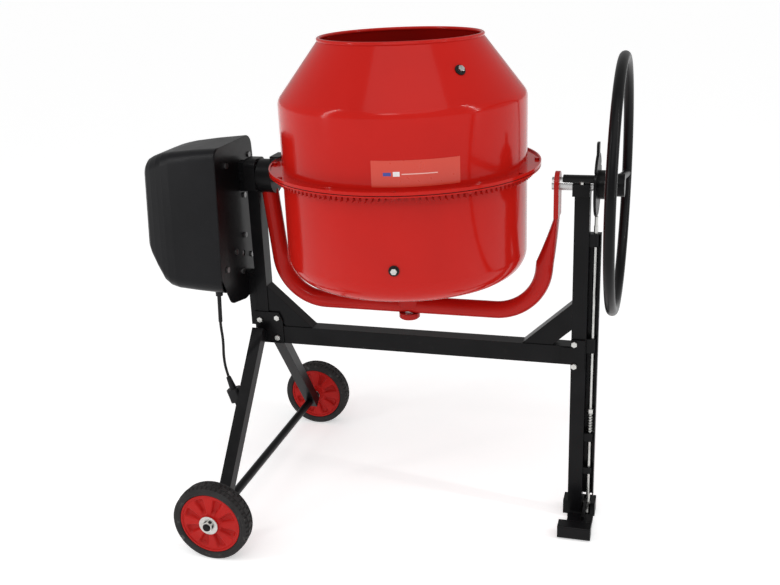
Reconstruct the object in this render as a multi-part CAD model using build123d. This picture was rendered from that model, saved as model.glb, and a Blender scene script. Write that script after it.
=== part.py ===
from build123d import *
import math
import os

# Concrete mixer: millimetres, +Z up, floor at Z = 0.
# X runs along the tilt axis from the motor (left) to the handwheel (right), Y points to the rear.
# Every shape is built with the drum axis at X = 0, and is moved to the frame centre on export.

# ---- running fits and small clearances
shaft_clearance = 0.08
bolt_clearance = 0.2
slot_clearance = 0.25

# ---- drum
axis_height = 863.0
drum_radius = 290.0
drum_wall = 3.0
shoulder_height = 203.0
shoulder_blend = 30.0
mouth_height = 335.0
mouth_radius = 0.65 * drum_radius
mouth_bead = 4.5
flange_radius = drum_radius + 32.0
flange_sheet = 3.0
flange_edge_height = 7.0
flange_edge_width = 3.5
lower_flange_height = 34.0
gasket_thickness = 2.0
base_height = -218.0
base_corner = 58.0
base_center_height = -240.0
base_center_radius = 80.0
flange_bolt_count = 12
flange_bolt_circle = flange_radius - 9.5
flange_bolt_radius = 3.0
flange_bolt_first_angle = -79.0
label_angle_start = -88.5
label_angle_end = -50.5
label_bottom = 50.0
label_top = 107.0
label_thickness = 0.6

# ---- drum hub and spindle
spindle_radius = 15.0
spindle_top = -214.0
hub_outer_radius = 32.0
hub_bore_radius = 26.0
hub_bottom = -281.0
hub_top = -206.0
hub_flange_radius = 60.0
hub_flange_thickness = 8.0
hub_bolt_circle = 47.0
hub_bolt_radius = 4.0
bearing_width = 16.0
spindle_boss_radius = 30.0
spindle_boss_top = -284.0
spindle_nut_radius = 26.0
spindle_nut_height = 14.0

# ---- drive
gear_module = 4.4
ring_teeth = round(2 * (drum_radius + 9.0) / gear_module)
pinion_teeth = 10
pinion_face = 12.0
tooth_addendum = 0.8 * gear_module
tooth_dedendum = 1.05 * gear_module
tooth_half_pitch_width = 3.0
ring_outer_radius = drum_radius + 16.0
ring_slot_top = 31.0
pinion_shaft_radius = 9.0
large_pulley_radius = 49.0
small_pulley_radius = 7.0
pulley_width = 14.0
pulley_left_x = -(drum_radius + 287.0)
belt_gap = 0.3
belt_thickness = 3.0
belt_side_gap = 1.0

# ---- blades
blade_width = 44.0
blade_thickness = 5.0
blade_wall_gap = 2.5
blade_low_angle = -80.4
blade_low_height = -135.0
blade_high_angle = -42.4
blade_high_height = 276.0
blade_bolt_radius = 4.0
blade_bolt_head = 6.5
blade_washer_radius = 12.0
blade_washer_thickness = 3.0

# ---- yoke
yoke_tube_radius = 21.0
yoke_tube_wall = 2.5
yoke_low_height = axis_height - 318.0
yoke_corner_x = drum_radius + 35.0
yoke_bend_radius = 118.0
yoke_top_x = drum_radius + 61.0
yoke_left_top = axis_height - 33.0
yoke_right_round_top = axis_height - 191.0
ear_center_x = drum_radius + 73.5
ear_thickness = 11.0
ear_width = 58.0
ear_bottom = axis_height - 73.0
left_hub_radius = 42.0
left_hub_inner_x = -(drum_radius + 41.0)
left_hub_outer_x = -(drum_radius + 81.0)
sleeve_radius = 22.0
sleeve_bore_radius = 13.0
sleeve_end_x = -(drum_radius + 140.0)
pinion_bush_length = 20.0
guard_half_width = 28.0
guard_height = 54.0
guard_sheet = 3.0
guard_reach = 23.0
trunnion_radius = 15.0
trunnion_inner_x = ear_center_x - 12.5
trunnion_outer_x = drum_radius + 208.0

# ---- index plate and handwheel
tilt_limit = 120.0
index_x = drum_radius + 160.0
index_thickness = 6.0
index_radius = 72.0
index_tab_radius = 97.0
index_tab_half_width = 13.0
index_boss_radius = 33.0
index_boss_end_x = index_x + 20.0
notch_half_width = 5.0
notch_depth = 10.0
handwheel_x = drum_radius + 212.0
handwheel_radius = 284.0
handwheel_tube = 12.0
handwheel_spoke = 10.0
handwheel_hub_radius = 26.0
handwheel_lean = -7.0

# ---- stand
left_column_x = -(drum_radius + 114.0)
left_column_width = 30.0
left_column_depth = 40.0
right_column_x = drum_radius + 114.0
right_column_width = 35.0
tube_wall = 2.5
beam_bottom = 422.5
beam_height = 47.0
beam_depth = 40.0
brace_run = 118.0
brace_rise = 108.0
brace_width = 49.0
brace_depth = 35.0
right_column_top = axis_height - 22.0
left_column_top = axis_height - 32.0
bearing_head_top = axis_height + 45.0
bearing_head_half_width = 36.0
bush_outer_radius = 27.0
motor_pad_thickness = 20.0
motor_pad_half_width = 19.0
lower_pad_top = axis_height - 253.0
upper_pad_bottom = axis_height - 37.0
upper_pad_top = axis_height + 35.0
saddle_end_gap = 1.0
cap_sheet = 6.0
saddle_half_width = trunnion_radius + cap_sheet + 12.0
cap_bolt_radius = 3.0
cap_bolt_inset = 5.5
cap_left_x = right_column_x - 28.0
cap_right_x = right_column_x + 42.0
gusset_sheet = 3.0
frame_bolt_radius = 4.0
frame_bolt_head = 6.5
frame_bolt_head_height = 5.5

# ---- legs and wheels
wheel_x = left_column_x - 3.0
wheel_radius = 97.0
wheel_width = 45.0
wheel_outer_y = 395.0
disc_radius = 77.0
disc_hub_radius = 24.0
disc_hub_extra = 2.0
axle_radius = 8.0
axle_tube_radius = 11.0
axle_end_y = 412.0
leg_width = 30.0
leg_top_y = 46.0
leg_top_z = beam_bottom + 29.5
leg_top_x = left_column_x + 8.0
leg_low_y = 318.0
leg_overrun = 20.0
leg_start = -14.0

# ---- foot, pedal and lock rod
foot_left_x = right_column_x - 13.0
foot_right_x = right_column_x + 67.0
foot_front_y = -2.0
foot_rear_y = 40.0
foot_height = 37.0
foot_slot_left_x = right_column_x + 37.0
foot_slot_right_x = right_column_x + 55.0
foot_slot_rear_y = 36.0
foot_floor = 4.0
pedal_pivot_y = 25.0
pedal_pivot_z = 22.0
pedal_pin_radius = 4.0
pedal_arm_left_x = foot_slot_left_x + 1.5
pedal_arm_right_x = foot_slot_left_x + 8.5
link_pin_radius = 3.0
pedal_lift_angle = 16.0
tread_front_y = -124.0
tread_rear_y = -88.0
tread_bottom = 3.0
tread_top = 36.0
rod_x = foot_slot_left_x + 12.0
rod_radius = 5.0
rod_shoulder = axis_height - 97.0
channel_gap = 0.5
channel_sheet = 2.5
channel_low = 60.0
channel_high = axis_height - 115.0
guide_length = 31.0
latch_pin_radius = 4.0
latch_pin_top = axis_height - index_radius - 2.0
collar_bottom = 291.0
collar_height = 11.0
collar_radius = 9.0
spring_seat_top = 236.0
spring_mean_radius = 7.6
spring_wire_radius = 1.2
spring_turns = 7

# ---- motor housing
plate_x = left_column_x - motor_pad_thickness - 3.0
plate_thickness = 3.0
housing_center_y = -38.0
housing_top = axis_height + 92.0
housing_top_half = 106.0
housing_side_half = 128.0
housing_side_low = axis_height - 223.0
housing_bottom = axis_height - 315.0
cover_bottom = axis_height - 265.0
# each section of the cover: depth from the plate, side inset, top inset, bottom inset, corner radius
cover_profile = [
    (0.0, 0.0, 0.0, 0.0, 26.0),
    (70.0, 5.0, 6.0, 1.0, 27.0),
    (128.0, 10.0, 13.0, 3.0, 28.0),
    (150.0, 13.0, 17.0, 7.0, 30.0),
    (166.0, 17.0, 21.0, 16.0, 32.0),
    (186.0, 25.0, 28.0, 44.0, 34.0),
    (202.0, 33.0, 36.0, 70.0, 34.0),
    (209.0, 40.0, 43.0, 82.0, 32.0),
    (213.0, 50.0, 54.0, 92.0, 28.0),
]
housing_end_x = plate_x - cover_profile[-1][0]
cover_wall = 3.0
boss_radius = 8.0
boss_length = 22.0
screw_radius = 3.0
screw_length = 15.0
motor_bolt_circle = 46.0
motor_y = -30.0
motor_z = axis_height - 195.0
motor_radius = 54.0
motor_shell = 5.0
motor_end_x = plate_x - 118.0
motor_shaft_radius = 4.5
rotor_radius = 20.0
switch_depth = 11.0
switch_half_width = 27.0
switch_bottom = axis_height - 173.0
switch_top = axis_height - 81.0
button_radius = 9.0
button_travel = 3.0
button_tip_x = housing_end_x - 16.0
start_button_z = axis_height - 105.0
stop_button_z = axis_height - 149.0

# ---- power cord
cord_x = plate_x - 26.6
cord_y = -130.0
gland_seat = cover_bottom
gland_radius = 9.0
gland_neck_radius = 7.0
sleeve_low = gland_seat - 82.0
cord_sleeve_radius = 5.0
cord_radius = 3.5

left_end_x = button_tip_x
right_end_x = handwheel_x + handwheel_tube
frame_shift = -(left_end_x + right_end_x) / 2


def block(x0, x1, y0, y1, z0, z1):
    return Pos((x0 + x1) / 2, (y0 + y1) / 2, (z0 + z1) / 2) * Box(x1 - x0, y1 - y0, z1 - z0)


def bar_x(radius, x0, x1, y=0.0, z=axis_height):
    return Pos((x0 + x1) / 2, y, z) * Rot(0, 90, 0) * Cylinder(radius, x1 - x0)


def bar_y(radius, y0, y1, x, z):
    return Pos(x, (y0 + y1) / 2, z) * Rot(90, 0, 0) * Cylinder(radius, y1 - y0)


def bar_z(radius, z0, z1, x=0.0, y=0.0):
    return Pos(x, y, (z0 + z1) / 2) * Cylinder(radius, z1 - z0)


def bar_between(start, end, radius):
    way = Vector(*end) - Vector(*start)
    plane = Plane(origin=start, z_dir=way)
    return plane * Pos(0, 0, way.length / 2) * Cylinder(radius, way.length)


def prism_y(points, y0, y1):
    face = make_face(Polyline(*[(x, y0, z) for x, z in points], close=True))
    return extrude(face, amount=y1 - y0, dir=(0, 1, 0))


def prism_x(points, x0, x1):
    face = make_face(Polyline(*[(x0, y, z) for y, z in points], close=True))
    return extrude(face, amount=x1 - x0, dir=(1, 0, 0))


def spin(points):
    # Full turn of a profile given as (radius, height above the tilt axis).
    face = make_face(Polyline(*[(r, 0, axis_height + h) for r, h in points], close=True))
    return revolve(face, axis=Axis.Z, revolution_arc=360)


def around(angle, radius, height):
    turn = math.radians(angle)
    return (radius * math.cos(turn), radius * math.sin(turn), axis_height + height)


def hexagon_prism(plane, across_flats, height):
    return extrude(plane * RegularPolygon(across_flats / 2, 6, major_radius=False), amount=height)


# ---------------------------------------------------------------- drum

cone_run = drum_radius - mouth_radius
cone_rise = mouth_height - shoulder_height
cone_length = math.hypot(cone_run, cone_rise)
cone_normal_r = cone_rise / cone_length
cone_normal_h = cone_run / cone_length
upper_flange_height = lower_flange_height + flange_sheet + gasket_thickness


def cone_radius(height, depth=0.0):
    outer = drum_radius - (height - shoulder_height) * cone_run / cone_rise
    return outer - depth / cone_normal_r


def wall_holes():
    pins = []
    for turn in (0, 180):
        for origin, out in blade_bolt_places(turn):
            plane = Plane(origin=origin, z_dir=out)
            radius = blade_bolt_radius + bolt_clearance
            pins.append(plane * Cylinder(radius, 60))
    return pins


def blade_bolt_places(turn):
    low = Vector(*around(blade_low_angle + turn, drum_radius, blade_low_height))
    low_out = Vector(*around(blade_low_angle + turn, 1, -axis_height))
    high_radius = cone_radius(blade_high_height)
    high = Vector(*around(blade_high_angle + turn, high_radius, blade_high_height))
    high_out = Vector(*around(blade_high_angle + turn, cone_normal_r, cone_normal_h - axis_height))
    return [(low, low_out), (high, high_out)]


def flange_bolt_angles():
    return [flange_bolt_first_angle + 360 / flange_bolt_count * k for k in range(flange_bolt_count)]


def flange_holes():
    radius = flange_bolt_radius + bolt_clearance
    low = axis_height + lower_flange_height - 1
    high = axis_height + upper_flange_height + flange_edge_height + 1
    places = [around(a, flange_bolt_circle, 0) for a in flange_bolt_angles()]
    return [bar_z(radius, low, high, x, y) for x, y, _ in places]


def upper_drum():
    inner_shoulder = drum_radius - drum_wall
    inner_line_h = shoulder_height + (cone_radius(shoulder_height, drum_wall)
            - inner_shoulder) * cone_rise / cone_run
    mouth_inner_r = mouth_radius - drum_wall * cone_normal_r
    mouth_inner_h = mouth_height - drum_wall * cone_normal_h
    sheet_top = upper_flange_height + flange_sheet
    edge_top = upper_flange_height + flange_edge_height
    edge_inner = flange_radius - flange_edge_width
    shell = spin([
        (inner_shoulder, upper_flange_height),
        (flange_radius, upper_flange_height),
        (flange_radius, edge_top),
        (edge_inner, edge_top),
        (edge_inner, sheet_top),
        (drum_radius, sheet_top),
        (drum_radius, shoulder_height),
        (mouth_radius, mouth_height),
        (mouth_inner_r, mouth_inner_h),
        (inner_shoulder, inner_line_h),
    ])
    shoulder = [e for e in shell.edges().filter_by(GeomType.CIRCLE)
                if abs(e.radius - drum_radius) < 0.1 and e.center().Z > axis_height + shoulder_height - 1]
    shell = fillet(shoulder, shoulder_blend)
    inside = [e for e in shell.edges().filter_by(GeomType.CIRCLE)
              if abs(e.radius - inner_shoulder) < 0.1 and e.center().Z > axis_height + inner_line_h - 1]
    shell = fillet(inside, shoulder_blend - drum_wall)
    bead = Pos(0, 0, axis_height + mouth_height) * Torus(mouth_radius, mouth_bead)
    shell = shell + bead
    return shell - flange_holes() - wall_holes()


def lower_drum():
    sheet_top = lower_flange_height + flange_sheet
    inner = drum_radius - drum_wall
    outer_shape = spin([
        (0, sheet_top),
        (drum_radius, sheet_top),
        (drum_radius, base_height),
        (base_center_radius, base_center_height),
        (0, base_center_height),
    ])
    inner_shape = spin([
        (0, sheet_top + 1),
        (inner, sheet_top + 1),
        (inner, base_height + drum_wall),
        (base_center_radius, base_center_height + drum_wall),
        (0, base_center_height + drum_wall),
    ])
    outer_shape = fillet(corner_edges(outer_shape, drum_radius, base_height), base_corner)
    inner_shape = fillet(corner_edges(inner_shape, inner, base_height + drum_wall), base_corner - drum_wall)
    flange = spin([
        (inner, lower_flange_height),
        (flange_radius, lower_flange_height),
        (flange_radius, sheet_top),
        (inner, sheet_top),
    ])
    hub_hole = bar_z(hub_outer_radius, axis_height + base_center_height - 5, axis_height
            + base_center_height + 10)
    shell = outer_shape - inner_shape + flange - hub_hole
    return shell - flange_holes() - wall_holes() - hub_bolt_holes()


def corner_edges(shape, radius, height):
    circles = shape.edges().filter_by(GeomType.CIRCLE)
    return [e for e in circles if abs(e.radius - radius) < 0.1 and abs(e.center().Z - axis_height
            - height) < 0.5]


def flange_gasket():
    low = lower_flange_height + flange_sheet
    high = low + gasket_thickness
    inner = drum_radius - drum_wall
    edge = flange_radius - 2
    ring = spin([(inner, low), (edge, low), (edge, high), (inner, high)])
    return ring - flange_holes()


def flange_bolts():
    head_base = axis_height + upper_flange_height + flange_sheet
    nut_top = axis_height + lower_flange_height
    bolts = []
    for angle in flange_bolt_angles():
        x, y, _ = around(angle, flange_bolt_circle, 0)
        shank = bar_z(flange_bolt_radius, nut_top - 6, head_base + 1, x, y)
        head = hexagon_prism(Plane(origin=(x, y, head_base)), 10, 5)
        nut = hexagon_prism(Plane(origin=(x, y, nut_top - 5)), 10, 5)
        bolts.append(shank + head + nut)
    return bolts


def hub_bolt_holes():
    low = axis_height + base_center_height - hub_flange_thickness - 1
    high = axis_height + base_center_height + drum_wall + 1
    return [bar_z(hub_bolt_radius + bolt_clearance, low, high, x, y) for x, y in hub_bolt_places()]


def hub_bolt_places():
    return [around(60 * k + 30, hub_bolt_circle, 0)[:2] for k in range(6)]


def hub_bolts():
    bolts = []
    head_base = axis_height + base_center_height + drum_wall
    nut_top = axis_height + base_center_height - hub_flange_thickness
    for x, y in hub_bolt_places():
        shank = bar_z(hub_bolt_radius, nut_top - 8, head_base + 1, x, y)
        head = hexagon_prism(Plane(origin=(x, y, head_base)), 13, 5)
        nut = hexagon_prism(Plane(origin=(x, y, nut_top - 6)), 13, 6)
        bolts.append(shank + head + nut)
    return bolts


def ring_gear():
    web = spin([
        (drum_radius, ring_slot_top),
        (ring_outer_radius, ring_slot_top),
        (ring_outer_radius, lower_flange_height),
        (drum_radius, lower_flange_height),
    ])
    pitch_plane = gear_module * pinion_teeth / 2
    tip = pitch_plane - tooth_addendum
    slope = math.tan(math.radians(20))
    wide = pitch_plane + gear_module
    tip_half = tooth_half_pitch_width - tooth_addendum * slope
    wide_half = tooth_half_pitch_width + gear_module * slope
    profile = [
        (-tip_half, axis_height + tip),
        (tip_half, axis_height + tip),
        (wide_half, axis_height + wide),
        (wide_half, axis_height + ring_slot_top + 0.5),
        (-wide_half, axis_height + ring_slot_top + 0.5),
        (-wide_half, axis_height + wide),
    ]
    tooth = prism_x(profile, drum_radius + 0.2, ring_outer_radius)
    step = 360 / ring_teeth
    teeth = [Rot(0, 0, 180 + (k + 0.5) * step) * tooth for k in range(ring_teeth)]
    return web + teeth


def drum_hub():
    tube = spin([
        (hub_bore_radius, hub_bottom),
        (hub_outer_radius, hub_bottom),
        (hub_outer_radius, hub_top),
        (0, hub_top),
        (0, hub_top - 5),
        (hub_bore_radius, hub_top - 5),
    ])
    flange = spin([
        (hub_outer_radius - 1, base_center_height - hub_flange_thickness),
        (hub_flange_radius, base_center_height - hub_flange_thickness),
        (hub_flange_radius, base_center_height),
        (hub_outer_radius - 1, base_center_height),
    ])
    return tube + flange - hub_bolt_holes()


def drum_bearings():
    low = hub_bottom
    high = spindle_top - 8 - bearing_width
    inner = spindle_radius + shaft_clearance
    rings = []
    for base in (low, high):
        top = base + bearing_width
        rings.append(spin([(inner, base), (hub_bore_radius, base), (hub_bore_radius, top), (inner, top)]))
    return rings


def mixing_blade(turn):
    wall_to_center = blade_wall_gap + blade_thickness / 2
    low_radius = drum_radius - drum_wall - wall_to_center
    cone_depth = drum_wall + wall_to_center
    spots = [
        (blade_low_angle, low_radius, blade_low_height - 22),
        (blade_low_angle, low_radius, blade_low_height + 26),
        (blade_low_angle + 9, low_radius - 32, blade_low_height + 112),
        (blade_low_angle + 19, low_radius - 46, blade_low_height + 215),
        (blade_high_angle - 8, low_radius - 44, blade_high_height - 88),
        (blade_high_angle, cone_radius(blade_high_height - 23, cone_depth), blade_high_height - 23),
        (blade_high_angle, cone_radius(blade_high_height + 23, cone_depth), blade_high_height + 23),
    ]
    centers = [Vector(*around(a + turn, r, h)) for a, r, h in spots]
    sections = []
    last = len(spots) - 1
    for k, (angle, _, _) in enumerate(spots):
        before = centers[max(k - 1, 0)]
        after = centers[min(k + 1, last)]
        if k in (1, last - 1):
            near_end = k == 1
            before = centers[0] if near_end else centers[k]
            after = centers[1] if near_end else centers[last]
        side = Vector(-math.sin(math.radians(angle + turn)), math.cos(math.radians(angle + turn)), 0)
        plane = Plane(origin=centers[k], x_dir=side, z_dir=after - before)
        sections.append(plane * Rectangle(blade_width, blade_thickness))
    blade = loft(sections, ruled=True)
    return blade - wall_holes()


def blade_bolts():
    bolts = []
    grip = drum_wall + blade_wall_gap + blade_thickness
    for turn in (0, 180):
        for origin, out in blade_bolt_places(turn):
            seat = Plane(origin=origin, z_dir=out)
            length = grip + blade_washer_thickness + 14
            shank = Pos(0, 0, blade_washer_thickness + 2 - length / 2) * Cylinder(blade_bolt_radius, length)
            head = extrude(Pos(0, 0, blade_washer_thickness) * RegularPolygon(blade_bolt_head, 6,
                    major_radius=False), amount=6)
            nut = extrude(Pos(0, 0, -grip - 8) * RegularPolygon(blade_bolt_head, 6, major_radius=False),
                    amount=8)
            bolts.append(seat * (shank + head + nut))
    return bolts


def blade_washers():
    # A rubber washer outside the wall and a thinner one between the wall and the blade.
    washers = []
    hole = Cylinder(blade_bolt_radius + bolt_clearance, 60)
    gap = drum_wall + blade_wall_gap
    inner_height = blade_wall_gap + 0.5
    for turn in (0, 180):
        for number, (origin, out) in enumerate(blade_bolt_places(turn)):
            seat = Plane(origin=origin, z_dir=out)
            outer = Pos(0, 0, blade_washer_thickness / 2) * Cylinder(blade_washer_radius,
                    blade_washer_thickness)
            inner = Pos(0, 0, inner_height / 2 - gap) * Cylinder(blade_washer_radius, inner_height)
            wall = upper_half if number else lower_half
            washers.append(seat * (outer - hole))
            washers.append(seat * (inner - hole) - wall)
    return washers


def drum_label():
    ring = spin([
        (drum_radius, label_bottom),
        (drum_radius + label_thickness, label_bottom),
        (drum_radius + label_thickness, label_top),
        (drum_radius, label_top),
    ])
    reach = flange_radius * 2
    middle = (label_angle_start + label_angle_end) / 2
    half = (label_angle_end - label_angle_start) / 2
    corner = reach * math.tan(math.radians(half))
    low = axis_height + label_bottom - 1
    high = axis_height + label_top + 1
    face = make_face(Polyline((0, 0, low), (reach, -corner, low), (reach, corner, low), close=True))
    wedge = Rot(0, 0, middle) * extrude(face, amount=high - low, dir=(0, 0, 1))
    return ring & wedge


# ---------------------------------------------------------------- drive

def pinion():
    pitch = gear_module * pinion_teeth / 2
    tip = pitch + tooth_addendum
    root = pitch - tooth_dedendum
    outline = [
        (root, tooth_half_pitch_width + 0.5),
        (pitch, tooth_half_pitch_width),
        ((pitch + tip) / 2, tooth_half_pitch_width - 0.6),
        (tip, tooth_half_pitch_width - 1.5),
    ]
    points = []
    for k in range(pinion_teeth):
        middle = math.pi / 2 + k * 2 * math.pi / pinion_teeth
        flank = [(r, middle - w / r) for r, w in outline]
        flank += [(r, middle + w / r) for r, w in reversed(outline)]
        points += [(r * math.cos(a), axis_height + r * math.sin(a)) for r, a in flank]
    middle_x = -gear_module * ring_teeth / 2
    gear = prism_x(points, middle_x - pinion_face / 2, middle_x + pinion_face / 2)
    boss = bar_x(root - 1, left_hub_inner_x + 2, middle_x)
    bore = bar_x(pinion_shaft_radius, left_hub_inner_x, middle_x + pinion_face)
    return gear + boss - bore


def pinion_shaft():
    inner_end = -gear_module * ring_teeth / 2 + pinion_face / 2
    return bar_x(pinion_shaft_radius, pulley_left_x - 5, inner_end)


def large_pulley():
    right = pulley_left_x + pulley_width
    rim = bar_x(large_pulley_radius, pulley_left_x, right)
    hub = bar_x(17, pulley_left_x - 2, right + 8)
    recess = bar_x(large_pulley_radius - 6, pulley_left_x + 9, right + 1) - bar_x(16, pulley_left_x,
            right + 2)
    holes = []
    for k in range(6):
        turn = math.radians(60 * k)
        y = 30 * math.cos(turn)
        z = axis_height + 30 * math.sin(turn)
        holes.append(bar_x(8, pulley_left_x - 1, right + 1, y, z))
    bore = bar_x(pinion_shaft_radius, pulley_left_x - 6, right + 9)
    return rim - recess - holes + hub - bore


def belt_loop(offset, x0, x1):
    side = Plane(origin=(x0, 0, 0), x_dir=(0, 1, 0), z_dir=(1, 0, 0))
    big = Pos(0, axis_height) * Circle(large_pulley_radius + offset)
    small = Pos(motor_y, motor_z) * Circle(small_pulley_radius + offset)
    return extrude(side * make_hull(big.edges() + small.edges()), amount=x1 - x0)


def drive_belt():
    left = pulley_left_x + belt_side_gap
    right = pulley_left_x + pulley_width - belt_side_gap
    return belt_loop(belt_gap + belt_thickness, left, right) - belt_loop(belt_gap, left - 1, right + 1)


def motor_rotor():
    shaft = bar_x(motor_shaft_radius, pulley_left_x - 2, plate_x - 1, motor_y, motor_z)
    core = bar_x(rotor_radius, motor_end_x + 30, plate_x - screw_length - 15, motor_y, motor_z)
    return shaft + core


def small_pulley():
    right = pulley_left_x + pulley_width
    body = bar_x(small_pulley_radius, pulley_left_x, right, motor_y, motor_z)
    return body - bar_x(motor_shaft_radius, pulley_left_x - 1, right + 1, motor_y, motor_z)


def motor_case():
    body = bar_x(motor_radius, motor_end_x, plate_x, motor_y, motor_z)
    flange = plate_x - screw_length - 5
    low_room = bar_x(motor_radius - motor_shell, motor_end_x + 6, motor_end_x + 26, motor_y, motor_z)
    high_room = bar_x(motor_radius - motor_shell, flange - 12, flange, motor_y, motor_z)
    gap = bar_x(rotor_radius + 1, motor_end_x + 20, flange - 6, motor_y, motor_z)
    bore = bar_x(motor_shaft_radius + shaft_clearance, motor_end_x - 1, plate_x + 1, motor_y, motor_z)
    return body - low_room - high_room - gap - bore - cover_screw_holes()


def capacitor():
    return bar_x(17, plate_x - 70, plate_x, -108, axis_height - 93)


# ---------------------------------------------------------------- motor housing

def housing_outline(x, side_inset, top_inset, bottom_inset, corner):
    top_half = housing_top_half - side_inset
    side_half = housing_side_half - side_inset
    top = housing_top - top_inset
    bottom = housing_bottom + bottom_inset
    side_low = housing_side_low + bottom_inset / 2
    chin = side_low - (side_low - bottom) * 0.84
    points = [
        (-top_half, top),
        (-side_half, side_low),
        (-side_half * 0.66, chin),
        (0, bottom),
        (side_half * 0.66, chin),
        (side_half, side_low),
        (top_half, top),
    ]
    moved = [(housing_center_y + y, z) for y, z in points]
    shape = Polygon(*moved, align=None)
    shape = fillet(shape.vertices(), corner)
    side = Plane(origin=(x, 0, 0), x_dir=(0, 1, 0), z_dir=(1, 0, 0))
    return side * shape


def motor_plate():
    plate = extrude(housing_outline(plate_x, 0, 0, 0, 30), amount=plate_thickness)
    sleeve_hole = bar_x(sleeve_radius + 2, plate_x - 1, plate_x + plate_thickness + 1)
    shaft_hole = bar_x(motor_shaft_radius + 3, plate_x - 1, plate_x + plate_thickness + 1, motor_y, motor_z)
    return plate - sleeve_hole - shaft_hole - cover_screw_holes()


def cover_outline(x, side_inset, top_inset, bottom_inset, corner):
    top_half = housing_top_half - side_inset
    low_half = housing_side_half - side_inset
    top = housing_top - top_inset
    bottom = cover_bottom + bottom_inset
    points = [(-top_half, top), (-low_half, bottom), (low_half, bottom), (top_half, top)]
    moved = [(housing_center_y + y, z) for y, z in points]
    shape = Polygon(*moved, align=None)
    shape = fillet(shape.vertices(), corner)
    side = Plane(origin=(x, 0, 0), x_dir=(0, 1, 0), z_dir=(1, 0, 0))
    return side * shape


def motor_cover():
    wall = cover_wall
    outer = []
    inner = []
    for depth, side, top, bottom, corner in cover_profile:
        outer.append(cover_outline(plate_x - depth, side, top, bottom, corner))
        inside = min(depth, cover_profile[-1][0] - wall)
        inner.append(cover_outline(plate_x - inside, side + wall, top + wall, bottom + wall, corner - wall))
    outer = loft(outer, ruled=True)
    inner = loft(inner, ruled=True)
    mouth = extrude(cover_outline(plate_x - 1, wall, wall, wall, 23), amount=2)
    keep = []
    for y, z, reach_y, reach_z in cover_bosses():
        boss = bar_x(boss_radius, plate_x - boss_length, plate_x, y, z)
        half = cover_wall / 2
        rib_y = (min(y, y + reach_y) - half, max(y, y + reach_y) + half)
        rib_z = (min(z, z + reach_z) - half, max(z, z + reach_z) + half)
        rib = block(plate_x - boss_length, plate_x, *rib_y, *rib_z)
        keep.append((boss + rib) & outer)
    gland_hole = bar_z(gland_neck_radius, gland_seat - 30, gland_seat + 30, cord_x, cord_y)
    return outer - inner - mouth + keep - cover_screw_holes() - gland_hole


def cover_bosses():
    # Position of each screw boss, and the reach of the rib that ties it to the cover wall.
    top = housing_top
    return [(-88, top - 50, 0, 60), (46, top - 49, 0, 60), (-132, top - 300, -60, 0),
            (50, top - 315, 60, 0)]


def plate_bolt_place():
    return (0, housing_top - 143)


def motor_bolt_places():
    places = []
    for k in range(4):
        turn = math.radians(160 + 90 * k)
        places.append((motor_y + motor_bolt_circle * math.cos(turn), motor_z
                + motor_bolt_circle * math.sin(turn)))
    return places


def housing_screw_places():
    return [(y, z) for y, z, _, _ in cover_bosses()] + motor_bolt_places() + [plate_bolt_place()]


def cover_screw_holes():
    start = plate_x - screw_length - 2
    end = plate_x + plate_thickness + 1
    return [bar_x(screw_radius, start, end, y, z) for y, z in housing_screw_places()]


def housing_screws():
    screws = []
    for y, z in housing_screw_places():
        seat = plate_x + plate_thickness
        screws.append(bar_x(screw_radius, plate_x - screw_length, seat + 1, y, z) + bar_x(7, seat, seat
                + 4, y, z))
    y, z = plate_bolt_place()
    nut = hexagon_prism(Plane(origin=(plate_x, y, z), z_dir=(-1, 0, 0)), 10, 5)
    screws[-1] = screws[-1] + nut
    return screws


def switch_box():
    y0 = housing_center_y - switch_half_width
    y1 = housing_center_y + switch_half_width
    body = block(housing_end_x - switch_depth, housing_end_x, y0, y1, switch_bottom, switch_top)
    body = fillet(body.edges().filter_by(Axis.X), 10)
    for z in (start_button_z, stop_button_z):
        pocket = button_radius + shaft_clearance
        body = body - bar_x(pocket, housing_end_x - switch_depth - 1, housing_end_x - 0.5,
                housing_center_y, z)
    return body


def push_button(z):
    inner_x = housing_end_x - 0.8 - button_travel
    return bar_x(button_radius, button_tip_x, inner_x, housing_center_y, z)


# ---------------------------------------------------------------- cord

def cord_gland():
    head = bar_z(gland_radius, gland_seat - 12, gland_seat + 14, cord_x, cord_y)
    sleeve = bar_between(cord_points()[0], (cord_x - 4.4, cord_y, sleeve_low), cord_sleeve_radius)
    sleeve = sleeve - bar_z(gland_radius + 4, gland_seat, gland_seat + 40, cord_x, cord_y)
    return head + sleeve


def cord_points():
    return [
        (cord_x, cord_y, gland_seat + 10),
        (cord_x - 2.4, cord_y, gland_seat - 38),
        (cord_x - 5.2, cord_y - 1, gland_seat - 86),
        (cord_x - 0.4, cord_y - 3, gland_seat - 132),
        (cord_x - 4.9, cord_y - 2, gland_seat - 178),
        (cord_x - 1.4, cord_y, gland_seat - 223),
        (cord_x + 12.1, cord_y + 1, gland_seat - 266),
    ]


def bend_radii(points):
    radii = []
    for k in range(1, len(points) - 1):
        before = Vector(*points[k]) - Vector(*points[k - 1])
        after = Vector(*points[k + 1]) - Vector(*points[k])
        turn = math.radians(before.get_angle(after))
        radii.append(0.45 * min(before.length, after.length) / math.tan(turn / 2))
    return radii


def power_cord():
    points = cord_points()
    path = FilletPolyline(*points, radius=bend_radii(points))
    start = Plane(origin=points[0], z_dir=Vector(*points[1]) - Vector(*points[0]))
    return sweep(start * Circle(cord_radius), path=path)


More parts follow.
